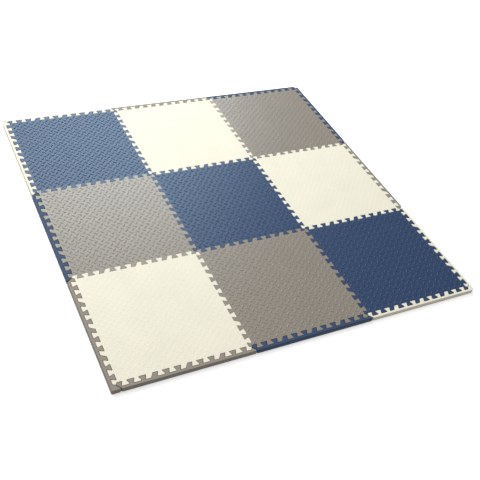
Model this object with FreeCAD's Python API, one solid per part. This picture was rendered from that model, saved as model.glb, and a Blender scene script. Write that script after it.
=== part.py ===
import FreeCAD, Part

import math
import os

# Nine square foam tiles, three by three, with twelve border strips round them. X runs along the
# front edge, Y to the back and Z up. The origin is at the middle of the underside.

os.makedirs("parts", exist_ok=True)

# Tiles
TILES_PER_SIDE = 3
TILE_PITCH = 300.0        # from the middle of one toothed joint to the next
THICKNESS = 10.0          # of every tile and strip

# Dovetail teeth, cut right through the foam
TEETH_PER_SIDE = 12
TEETH_PER_GROUP = 3       # the teeth stand in groups, parted by one flank that leans the other way
TOOTH_DEPTH = 11.0        # from root to tip
FLANK_LEAN = 4.6          # how far an ordinary flank leans over the tooth's depth
SPLICE_LEAN = 7.0         # how far the flank between two groups leans the other way
TOOTH_ROUND = 1.4         # radius at the corners of a tooth
FIT_GAP = 0.3             # between any two pieces that mate

# Border strips
STRIP_WIDTH = 12.5        # from the middle of the toothed joint to the outer edge
SEAM_RUN = 10.0           # how far a seam between two strips slants over the strip's width
STRIP_END_ROUND = 2.5     # radius at the ends of a strip, seen from above
STRIP_TOP_ROUND = 2.0     # radius along the outer top edge
SQUARE_CORNER_ROUND = 2.0
BIG_CORNER_ROUND = 12.0
NOTCH_DEPTH = 6.0         # how far the small notch at a back corner is cut in from the outer edge

HALF_SPAN = TILES_PER_SIDE * TILE_PITCH / 2
HALF_DEPTH = TOOTH_DEPTH / 2
HALF_GAP = FIT_GAP / 2


def toothed_edge():
    """Front edge of a tile from its left corner (0, 0) to just before its right corner.

    Tips of the tile's own teeth point to -Y. The same line is the inner edge of a strip.
    """
    half_pitch = TILE_PITCH / TEETH_PER_SIDE / 2
    points = [(0.0, 0.0), (SPLICE_LEAN / 2, HALF_DEPTH)]
    for flank in range(1, 2 * TEETH_PER_SIDE):
        x = flank * half_pitch
        goes_out = flank % 2 == 1
        at_splice = flank % (2 * TEETH_PER_GROUP) == 0
        if goes_out:
            points.append((x + FLANK_LEAN / 2, HALF_DEPTH))
            points.append((x - FLANK_LEAN / 2, -HALF_DEPTH))
        elif at_splice:
            points.append((x - SPLICE_LEAN / 2, -HALF_DEPTH))
            points.append((x + SPLICE_LEAN / 2, HALF_DEPTH))
        else:
            points.append((x + FLANK_LEAN / 2, -HALF_DEPTH))
            points.append((x - FLANK_LEAN / 2, HALF_DEPTH))
    points.append((TILE_PITCH - SPLICE_LEAN / 2, -HALF_DEPTH))
    return points


def quarter_turn(point, turns):
    """A point turned by quarter turns about the middle of the tile that it belongs to."""
    x, y = point
    for _ in range(turns):
        x, y = TILE_PITCH - y, x
    return x, y


def inset(points, distance):
    """The closed outline, which runs anticlockwise, with every side moved inwards."""
    moved = []
    for index, here in enumerate(points):
        before = points[index - 1]
        after = points[(index + 1) % len(points)]
        in_x, in_y = unit(before, here)
        out_x, out_y = unit(here, after)
        share = distance / (1 + in_x * out_x + in_y * out_y)
        moved.append((here[0] - (in_y + out_y) * share, here[1] + (in_x + out_x) * share))
    return moved


def unit(start, end):
    """Direction from one point to another, one long."""
    dx = end[0] - start[0]
    dy = end[1] - start[1]
    length = math.hypot(dx, dy)
    return dx / length, dy / length


def plate(points, radii):
    """A plate of the foam's thickness with each corner of its outline rounded by its own radius."""
    starts = []
    ends = []
    arcs = []
    for index, here in enumerate(points):
        radius = radii[index]
        in_x, in_y = unit(points[index - 1], here)
        out_x, out_y = unit(here, points[(index + 1) % len(points)])
        turn = math.acos(max(-1.0, min(1.0, in_x * out_x + in_y * out_y)))
        reach = radius * math.tan(turn / 2)
        start = FreeCAD.Vector(here[0] - in_x * reach, here[1] - in_y * reach, 0)
        end = FreeCAD.Vector(here[0] + out_x * reach, here[1] + out_y * reach, 0)
        to_middle = radius * (1 / math.cos(turn / 2) - 1)
        across_x, across_y = unit((in_x, in_y), (out_x, out_y))
        middle = FreeCAD.Vector(here[0] + across_x * to_middle, here[1] + across_y * to_middle, 0)
        starts.append(start)
        ends.append(end)
        arcs.append(Part.Arc(start, middle, end).toShape())
    edges = []
    for index, arc in enumerate(arcs):
        edges.append(Part.makeLine(ends[index - 1], starts[index]))
        edges.append(arc)
    face = Part.Face(Part.Wire(edges))
    return face.extrude(FreeCAD.Vector(0, 0, THICKNESS))


def tile():
    """One tile with its front left corner at the origin."""
    outline = []
    for turns in range(4):
        outline += [quarter_turn(point, turns) for point in toothed_edge()]
    outline = inset(outline, HALF_GAP)
    return plate(outline, [TOOTH_ROUND] * len(outline))


def strip(start="plain", end="plain"):
    """One strip along the front edge of the tile that stands at the origin.

    A plain start is blunt and a plain end is pointed, so that the strips follow one another round
    the mat. An end may also fill a corner of the mat, "square" or "round", and a start may be
    "notched", which fills a corner but for a small notch beside the pointed end of the last strip.
    """
    outer = -(STRIP_WIDTH + HALF_GAP)
    slant = SEAM_RUN / STRIP_WIDTH
    run = -outer * slant
    outline = [(0.0, 0.0)]
    radii = [TOOTH_ROUND]
    if start == "plain":
        outline.append((run, outer))
        radii.append(STRIP_END_ROUND)
    else:
        fill = STRIP_WIDTH - NOTCH_DEPTH
        outline.append((-fill, -fill * slant))
        outline.append((0.0, outer))
        radii += [STRIP_END_ROUND, STRIP_END_ROUND]
    if end == "plain":
        outline.append((TILE_PITCH + run, outer))
        radii.append(STRIP_END_ROUND)
    else:
        outline.append((TILE_PITCH - outer, outer))
        outline.append((TILE_PITCH - outer, run))
        radii.append(SQUARE_CORNER_ROUND if end == "square" else big_corner_round())
        radii.append(STRIP_END_ROUND)
    inner = [(TILE_PITCH, 0.0)] + toothed_edge()[:0:-1]
    outline += inner
    radii += [TOOTH_ROUND] * len(inner)
    body = plate(inset(outline, HALF_GAP), radii)
    return body.makeFillet(STRIP_TOP_ROUND, outer_top_edges(body))


def big_corner_round():
    """Radius of the big round corner, no larger than its side leaves room for."""
    turn_at_seam = math.pi / 2 + math.atan(SEAM_RUN / STRIP_WIDTH)
    room = STRIP_WIDTH + SEAM_RUN - STRIP_END_ROUND * math.tan(turn_at_seam / 2)
    return min(BIG_CORNER_ROUND, room - FIT_GAP)


def outer_top_edges(body):
    """Top edges of a strip along the outside of the mat."""
    found = []
    for edge in body.Edges:
        box = edge.BoundBox
        on_top = box.ZMin > THICKNESS - HALF_GAP
        on_front = box.YMax < -STRIP_WIDTH + HALF_GAP
        on_side = box.XMin > TILE_PITCH + STRIP_WIDTH - HALF_GAP
        at_corner = box.YMin < -STRIP_WIDTH + HALF_GAP and box.XMax > TILE_PITCH + STRIP_WIDTH - HALF_GAP
        if on_top and (on_front or on_side or at_corner):
            found.append(edge)
    return found


def place(shape, turns, column, row):
    """A copy turned by quarter turns about its own tile's middle, moved to a column and row."""
    middle = FreeCAD.Vector(TILE_PITCH / 2, TILE_PITCH / 2, 0)
    copy = shape.copy()
    copy.rotate(middle, FreeCAD.Vector(0, 0, 1), 90 * turns)
    copy.translate(FreeCAD.Vector(column * TILE_PITCH - HALF_SPAN, row * TILE_PITCH - HALF_SPAN, 0))
    return copy


def save(shape, name):
    shape.exportStep(os.path.join("parts", name + ".step"))


LAST = TILES_PER_SIDE - 1


def make_tiles():
    """Tiles in rows from the front and columns from the left."""
    shape = tile()
    for row in range(TILES_PER_SIDE):
        for column in range(TILES_PER_SIDE):
            save(place(shape, 0, column, row), f"tile_row{row + 1}_col{column + 1}")


def make_strips():
    """Strips anticlockwise round the mat from its front left corner, side by side."""
    sides = ["front", "right", "back", "left"]
    corner_ends = {"front": "round", "left": "square"}
    corner_starts = {"back": "notched", "left": "notched"}
    for turns, side in enumerate(sides):
        for number in range(TILES_PER_SIDE):
            start = corner_starts.get(side, "plain") if number == 0 else "plain"
            end = corner_ends.get(side, "plain") if number == LAST else "plain"
            column, row = [(number, 0), (LAST, number), (LAST - number, LAST), (0, LAST - number)][turns]
            save(place(strip(start, end), turns, column, row), f"strip_{side}_{number + 1}")


make_tiles()
make_strips()
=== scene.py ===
import math

import bmesh
import bpy
from mathutils import Matrix, Vector


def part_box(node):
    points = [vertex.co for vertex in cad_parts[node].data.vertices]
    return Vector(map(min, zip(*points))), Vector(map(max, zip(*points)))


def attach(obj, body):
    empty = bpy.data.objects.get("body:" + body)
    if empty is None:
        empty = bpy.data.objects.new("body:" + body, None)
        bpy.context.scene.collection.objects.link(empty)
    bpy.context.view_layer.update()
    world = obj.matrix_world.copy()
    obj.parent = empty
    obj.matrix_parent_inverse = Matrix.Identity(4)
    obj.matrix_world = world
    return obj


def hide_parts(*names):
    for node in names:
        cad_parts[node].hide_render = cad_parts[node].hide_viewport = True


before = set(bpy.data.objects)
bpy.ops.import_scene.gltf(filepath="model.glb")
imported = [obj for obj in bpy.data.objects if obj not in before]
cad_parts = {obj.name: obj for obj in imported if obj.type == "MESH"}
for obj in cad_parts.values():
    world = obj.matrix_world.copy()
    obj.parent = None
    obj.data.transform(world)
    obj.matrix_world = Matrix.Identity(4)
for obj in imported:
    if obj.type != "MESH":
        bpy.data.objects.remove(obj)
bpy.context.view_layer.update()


# The view: from the front left, well above the mat, with the camera tipped a little to one side.
EYE = Vector((-0.7871, -1.2574, 1.2286))
AIM = Vector((-0.0502, -0.1710, 0.0414))
CAMERA_TIP = math.radians(12.65)
LENS_MM = 55.95


def make_camera():
    data = bpy.data.cameras.new("view")
    data.lens = LENS_MM
    data.sensor_width = 36.0
    data.clip_start = 0.05
    data.clip_end = 50.0
    camera = bpy.data.objects.new("view", data)
    turn = (AIM - EYE).to_track_quat("-Z", "Y").to_matrix().to_4x4()
    camera.matrix_world = Matrix.Translation(EYE) @ turn @ Matrix.Rotation(CAMERA_TIP, 4, "Z")
    bpy.context.collection.objects.link(camera)
    bpy.context.scene.camera = camera


make_camera()


# Foam tiles. Each is one square of closed-cell EVA, pressed hot so that the top takes its pattern and
# a smooth skin, then die-cut with dovetail teeth on all four sides. It holds only by its teeth.
FOAM_COLOURS = {
    "cream": (0.725, 0.675, 0.548),
    "grey": (0.228, 0.198, 0.164),
    "blue": (0.016, 0.039, 0.103),
}
SHEEN = {
    "cream": (1.0, 1.0, 1.0),
    "grey": (1.0, 0.98, 0.90),
    "blue": (0.76, 0.92, 1.0),
}
TILE_COLOURS = [
    ["cream", "grey", "blue"],
    ["grey", "blue", "cream"],
    ["blue", "cream", "grey"],
]
CUT_EDGE_ROUND = 0.00035
TILE_SKIN_SLOPE = math.radians(72)
SHARPEST_SMOOTH = math.radians(50)
FLAT = 0.999              # a face whose normal rises more than this lies flat
UPRIGHT = 0.1             # a face whose normal rises less than this stands upright
TILE_SKIN_ROUGH = {"cream": (0.57, 0.69), "grey": (0.30, 0.42), "blue": (0.37, 0.51)}
SKIN_CELLS = 1500.0       # per metre, small and shut
SKIN_CELL_DEPTH = 0.00005
CUT_CELLS = 900.0         # per metre, large and open
CUT_CELL_DEPTH = 0.00025
CUT_ROUGH = (0.60, 0.80)
CUT_WALL_PAINTED_SHADE = 0.60          # painted shade on the cut walls, the mat's shaded sides, on top of the slight darkening of open cells
MOTTLE = 0.10             # how much the shade changes over a piece
BROAD_MOTTLE = 14.0       # changes per metre
FINE_MOTTLE = 260.0


def foam_mottle_group():
    """Faint broad and fine changes of shade, as moulded foam has."""
    group = bpy.data.node_groups.new("foam_mottle", "ShaderNodeTree")
    group.interface.new_socket("Place", in_out="INPUT", socket_type="NodeSocketVector")
    group.interface.new_socket("Colour", in_out="INPUT", socket_type="NodeSocketColor")
    group.interface.new_socket("Amount", in_out="INPUT", socket_type="NodeSocketFloat")
    group.interface.new_socket("Colour", in_out="OUTPUT", socket_type="NodeSocketColor")
    nodes, links = group.nodes, group.links
    entry = nodes.new("NodeGroupInput")
    leave = nodes.new("NodeGroupOutput")
    broad = nodes.new("ShaderNodeTexNoise")
    broad.inputs["Scale"].default_value = BROAD_MOTTLE
    broad.inputs["Detail"].default_value = 3.0
    fine = nodes.new("ShaderNodeTexNoise")
    fine.inputs["Scale"].default_value = FINE_MOTTLE
    fine.inputs["Detail"].default_value = 4.0
    both = nodes.new("ShaderNodeMath")
    both.operation = "ADD"
    centred = nodes.new("ShaderNodeMath")
    centred.operation = "SUBTRACT"
    centred.inputs[1].default_value = 1.0
    scaled = nodes.new("ShaderNodeMath")
    scaled.operation = "MULTIPLY_ADD"
    scaled.inputs[2].default_value = 1.0
    shade = nodes.new("ShaderNodeVectorMath")
    shade.operation = "SCALE"
    links.new(entry.outputs["Place"], broad.inputs["Vector"])
    links.new(entry.outputs["Place"], fine.inputs["Vector"])
    links.new(broad.outputs["Fac"], both.inputs[0])
    links.new(fine.outputs["Fac"], both.inputs[1])
    links.new(both.outputs[0], centred.inputs[0])
    links.new(centred.outputs[0], scaled.inputs[0])
    links.new(entry.outputs["Amount"], scaled.inputs[1])
    links.new(entry.outputs["Colour"], shade.inputs[0])
    links.new(scaled.outputs[0], shade.inputs["Scale"])
    links.new(shade.outputs[0], leave.inputs["Colour"])
    return group


def foam_cells_group():
    """Foam cells: a height from small rounded bubbles broken up by noise."""
    group = bpy.data.node_groups.new("foam_cells", "ShaderNodeTree")
    group.interface.new_socket("Place", in_out="INPUT", socket_type="NodeSocketVector")
    group.interface.new_socket("Cells per metre", in_out="INPUT", socket_type="NodeSocketFloat")
    group.interface.new_socket("Height", in_out="OUTPUT", socket_type="NodeSocketFloat")
    nodes, links = group.nodes, group.links
    entry = nodes.new("NodeGroupInput")
    leave = nodes.new("NodeGroupOutput")
    bubbles = nodes.new("ShaderNodeTexVoronoi")
    bubbles.feature = "SMOOTH_F1"
    bubbles.inputs["Smoothness"].default_value = 0.4
    rough = nodes.new("ShaderNodeTexNoise")
    rough.inputs["Detail"].default_value = 2.0
    height = nodes.new("ShaderNodeMath")
    height.operation = "MULTIPLY"
    links.new(entry.outputs["Place"], bubbles.inputs["Vector"])
    links.new(entry.outputs["Place"], rough.inputs["Vector"])
    links.new(entry.outputs["Cells per metre"], bubbles.inputs["Scale"])
    links.new(entry.outputs["Cells per metre"], rough.inputs["Scale"])
    links.new(bubbles.outputs["Distance"], height.inputs[0])
    links.new(rough.outputs["Fac"], height.inputs[1])
    links.new(height.outputs[0], leave.inputs["Height"])
    return group


FOAM_MOTTLE = foam_mottle_group()
FOAM_CELLS = foam_cells_group()


def foam_material(name, colour, sheen, cells_per_metre, cell_depth, rough):
    """Foam of one colour: closed satin skin with small cells, or a cut wall with large ones."""
    material = bpy.data.materials.new(name)
    material.use_nodes = True
    nodes, links = material.node_tree.nodes, material.node_tree.links
    shader = nodes["Principled BSDF"]
    place = nodes.new("ShaderNodeTexCoord").outputs["Object"]
    mottle = nodes.new("ShaderNodeGroup")
    mottle.node_tree = FOAM_MOTTLE
    mottle.inputs["Colour"].default_value = (*colour, 1.0)
    mottle.inputs["Amount"].default_value = MOTTLE
    cells = nodes.new("ShaderNodeGroup")
    cells.node_tree = FOAM_CELLS
    cells.inputs["Cells per metre"].default_value = cells_per_metre
    bump = nodes.new("ShaderNodeBump")
    bump.inputs["Distance"].default_value = cell_depth
    gloss = nodes.new("ShaderNodeMapRange")
    gloss.inputs["To Min"].default_value, gloss.inputs["To Max"].default_value = rough
    links.new(place, mottle.inputs["Place"])
    links.new(place, cells.inputs["Place"])
    links.new(mottle.outputs["Colour"], shader.inputs["Base Color"])
    links.new(cells.outputs["Height"], gloss.inputs["Value"])
    links.new(gloss.outputs["Result"], shader.inputs["Roughness"])
    links.new(cells.outputs["Height"], bump.inputs["Height"])
    links.new(bump.outputs["Normal"], shader.inputs["Normal"])
    shader.inputs["Specular IOR Level"].default_value = 0.5
    shader.inputs["Specular Tint"].default_value = (*sheen, 1.0)
    return material


def skin_material(name, colour_name, rough):
    """The closed skin that a hot press leaves on foam of one colour."""
    colour = FOAM_COLOURS[colour_name]
    return foam_material(name, colour, SHEEN[colour_name], SKIN_CELLS, SKIN_CELL_DEPTH, rough)


def cut_material(name, colour_name):
    """The open cells that a die leaves where it cuts foam of one colour, darkened as painted shade."""
    colour = [part * CUT_WALL_PAINTED_SHADE for part in FOAM_COLOURS[colour_name]]
    return foam_material(name, colour, SHEEN[colour_name], CUT_CELLS, CUT_CELL_DEPTH, CUT_ROUGH)


TILE_SKIN = {}
CUT = {}
for foam_colour, tile_rough in TILE_SKIN_ROUGH.items():
    TILE_SKIN[foam_colour] = skin_material(f"{foam_colour} foam skin", foam_colour, tile_rough)
    CUT[foam_colour] = cut_material(f"{foam_colour} cut foam", foam_colour)


def die_cut_blank(node, steepest_skin):
    """The foam of one piece: its cut outline, with the rim pressed slightly round top and bottom.

    Skin covers it up to the given slope. Where it is steeper, it shows its cut cells, darker as
    painted shade.
    """
    shape = bmesh.new()
    shape.from_mesh(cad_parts[node].data)
    bmesh.ops.remove_doubles(shape, verts=shape.verts, dist=1e-6)
    flat = math.radians(0.5)
    bmesh.ops.dissolve_limit(shape, angle_limit=flat, verts=shape.verts, edges=shape.edges)
    shape.normal_update()
    rim = [edge for edge in shape.edges if is_rim(edge)]
    bmesh.ops.bevel(
        shape, geom=rim, affect="EDGES", offset=CUT_EDGE_ROUND, segments=2, profile=0.5, material=-1
    )
    shape.normal_update()
    for face in shape.faces:
        is_wall = abs(face.normal.z) < math.cos(steepest_skin)
        face.material_index = 1 if is_wall else 0
        face.smooth = abs(face.normal.z) < FLAT
    for edge in shape.edges:
        edge.smooth = edge.calc_face_angle(math.pi) < SHARPEST_SMOOTH
    return shape


def is_rim(edge):
    """Whether an edge runs between a flat face of the foam and a cut wall."""
    if len(edge.link_faces) != 2:
        return False
    rises = [abs(face.normal.z) for face in edge.link_faces]
    return max(rises) > FLAT and min(rises) < UPRIGHT


def finished_piece(shape, name, node, colour_name, skin):
    """An object for a shape, in the place of its CAD node, with the given skin over its cut foam."""
    mesh = bpy.data.meshes.new(name)
    shape.to_mesh(mesh)
    shape.free()
    mesh.materials.append(skin[colour_name])
    mesh.materials.append(CUT[colour_name])
    loaded_normals = mesh.attributes.get("custom_normal")
    if loaded_normals:
        mesh.attributes.remove(loaded_normals)
    piece = bpy.data.objects.new(name, mesh)
    bpy.context.collection.objects.link(piece)
    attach(piece, node)
    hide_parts(node)
    return piece


# The pattern pressed into a tile's top: low rounded bars that lean left and right by turns, like the
# lozenges of tread plate, in rows that stop just short of the teeth.
BAR_LENGTH = 0.0112
BAR_WIDTH = 0.0040
BAR_STEPS = [(0.00020, 0.00030), (0.00060, 0.00055), (0.00060, 0.00018)]
BAR_SUNK = 0.00010
LONG_SPACING = 0.0183
SHORT_SPACING = 0.0162
PATTERN_HALF = 0.1436
PRINT_DEPTH = {"cream": 0.22, "grey": 0.85, "blue": 1.08}


def pressed_bar(lean):
    """One bar at the origin, turned by its lean from the X axis."""
    bar = bmesh.new()
    bmesh.ops.create_circle(bar, cap_ends=True, segments=12, radius=BAR_WIDTH / 2)
    stretch = (BAR_LENGTH - BAR_WIDTH) / 2
    for vert in bar.verts:
        if abs(vert.co.x) > BAR_WIDTH / 20:
            vert.co.x += math.copysign(stretch, vert.co.x)
    bar.normal_update()
    cap = bar.faces[:]
    if cap[0].normal.z < 0:
        bmesh.ops.reverse_faces(bar, faces=cap)
    for inwards, upwards in BAR_STEPS:
        bmesh.ops.inset_individual(bar, faces=cap, thickness=inwards, depth=upwards)
    for face in bar.faces:
        face.smooth = True
    bmesh.ops.translate(bar, verts=bar.verts, vec=(0, 0, -BAR_SUNK))
    bmesh.ops.rotate(bar, verts=bar.verts, matrix=Matrix.Rotation(lean, 3, "Z"))
    return bar


def pressed_pattern():
    """All the bars of one tile, about the origin, with the longer spacing along X."""
    pattern = bmesh.new()
    lean = math.atan2(SHORT_SPACING, LONG_SPACING)
    for side, shift in ((-1, 0.0), (1, 0.5)):
        bar = pressed_bar(side * lean)
        add_rows(pattern, bar, shift)
        bar.free()
    mesh = bpy.data.meshes.new("pressed pattern")
    pattern.to_mesh(mesh)
    pattern.free()
    return mesh


def add_rows(pattern, bar, shift):
    """Copies of a bar on every place of its own grid that lies inside the pattern's edge."""
    mesh = bpy.data.meshes.new("bar")
    bar.to_mesh(mesh)
    reach = PATTERN_HALF - BAR_LENGTH / 2
    columns = int(PATTERN_HALF / LONG_SPACING) + 1
    rows = int(PATTERN_HALF / SHORT_SPACING) + 1
    for column in range(-columns, columns + 1):
        for row in range(-rows, rows + 1):
            x = (column + shift) * LONG_SPACING
            y = (row + shift) * SHORT_SPACING
            if abs(x) > reach or abs(y) > reach:
                continue
            mesh.transform(Matrix.Translation((x, y, 0)))
            pattern.from_mesh(mesh)
            mesh.transform(Matrix.Translation((-x, -y, 0)))
    bpy.data.meshes.remove(mesh)


PATTERN = pressed_pattern()


def make_tile(row, column):
    node = f"tile_row{row + 1}_col{column + 1}"
    colour_name = TILE_COLOURS[row][column]
    name = f"{colour_name}_tile_{row + 1}_{column + 1}"
    low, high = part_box(node)
    middle = (Vector(low) + Vector(high)) / 2
    middle.z = high[2]
    quarter = math.radians(90) if row == 1 else 0.0
    bars = PATTERN.copy()
    bars.transform(Matrix.Diagonal((1.0, 1.0, PRINT_DEPTH[colour_name], 1.0)))
    bars.transform(Matrix.Translation(middle) @ Matrix.Rotation(quarter, 4, "Z"))
    shape = die_cut_blank(node, TILE_SKIN_SLOPE)
    shape.from_mesh(bars)
    bpy.data.meshes.remove(bars)
    finished_piece(shape, name, node, colour_name, TILE_SKIN)


for tile_row in range(3):
    for tile_column in range(3):
        make_tile(tile_row, tile_column)


# Border strips. Each is a narrow bar of the same foam with teeth along its inner side, which clips to
# one tile and gives the mat a straight edge. Its skin is plain and duller than a tile's, and its outer
# top edge is rounded so that nobody trips.
STRIP_COLOURS = {
    "front": ["grey", "blue", "cream"],
    "right": ["cream", "grey", "blue"],
    "back": ["blue", "grey", "cream"],
    "left": ["cream", "blue", "grey"],
}
# A strip's rounded outer top edge is skin only up to this slope. Steeper, it takes the darker cut foam
# as painted shade along the mat's edge.
STRIP_SKIN_TO_PAINTED_SHADE_SLOPE = math.radians(38)
STRIP_ROUGH = (0.60, 0.76)
STRIP_SKIN = {}
for foam_colour in FOAM_COLOURS:
    STRIP_SKIN[foam_colour] = skin_material(f"{foam_colour} strip skin", foam_colour, STRIP_ROUGH)


def make_strip(side, number, colour_name):
    node = f"strip_{side}_{number}"
    shape = die_cut_blank(node, STRIP_SKIN_TO_PAINTED_SHADE_SLOPE)
    finished_piece(shape, f"{colour_name}_{node}", node, colour_name, STRIP_SKIN)


for strip_side, strip_colours in STRIP_COLOURS.items():
    for index, strip_colour in enumerate(strip_colours):
        make_strip(strip_side, index + 1, strip_colour)


# The studio: a plain pale floor that glows a little, two broad soft windows behind the mat, a panel
# overhead and white walls all round.
WALL_GLOW = 0.36
FLOOR_GLOW = 0.30
FLOOR_PAINT = (0.93, 0.93, 0.93)


def make_floor():
    floor = bmesh.new()
    bmesh.ops.create_grid(floor, x_segments=1, y_segments=1, size=6.0)
    mesh = bpy.data.meshes.new("floor")
    floor.to_mesh(mesh)
    floor.free()
    paint = bpy.data.materials.new("pale floor")
    paint.use_nodes = True
    shader = paint.node_tree.nodes["Principled BSDF"]
    shader.inputs["Base Color"].default_value = (*FLOOR_PAINT, 1.0)
    shader.inputs["Roughness"].default_value = 0.9
    shader.inputs["Emission Color"].default_value = (1.0, 1.0, 1.0, 1.0)
    shader.inputs["Emission Strength"].default_value = FLOOR_GLOW
    mesh.materials.append(paint)
    piece = bpy.data.objects.new("floor", mesh)
    bpy.context.collection.objects.link(piece)


def make_soft_light(name, place, width, height, watts, colour):
    """A broad rectangular light that faces the middle of the mat."""
    data = bpy.data.lights.new(name, "AREA")
    data.shape = "RECTANGLE"
    data.size = width
    data.size_y = height
    data.energy = watts
    data.color = colour
    light = bpy.data.objects.new(name, data)
    turn = (-place).to_track_quat("-Z", "Y").to_matrix().to_4x4()
    light.matrix_world = Matrix.Translation(place) @ turn
    bpy.context.collection.objects.link(light)


def make_walls():
    world = bpy.data.worlds.new("white walls")
    world.use_nodes = True
    world.node_tree.nodes["Background"].inputs["Color"].default_value = (1.0, 1.0, 1.0, 1.0)
    world.node_tree.nodes["Background"].inputs["Strength"].default_value = WALL_GLOW
    bpy.context.scene.world = world


make_floor()
make_soft_light("window behind", Vector((0.65, 2.6, 1.90)), 1.6, 1.2, 46.0, (0.86, 1.0, 1.08))
make_soft_light("window left", Vector((-1.25, 2.15, 2.00)), 1.4, 1.2, 66.0, (1.0, 1.0, 1.0))
make_soft_light("panel overhead", Vector((0.0, 0.0, 3.0)), 2.2, 2.2, 34.0, (1.0, 1.0, 1.0))
make_walls()
bpy.context.scene.view_settings.view_transform = "Standard"
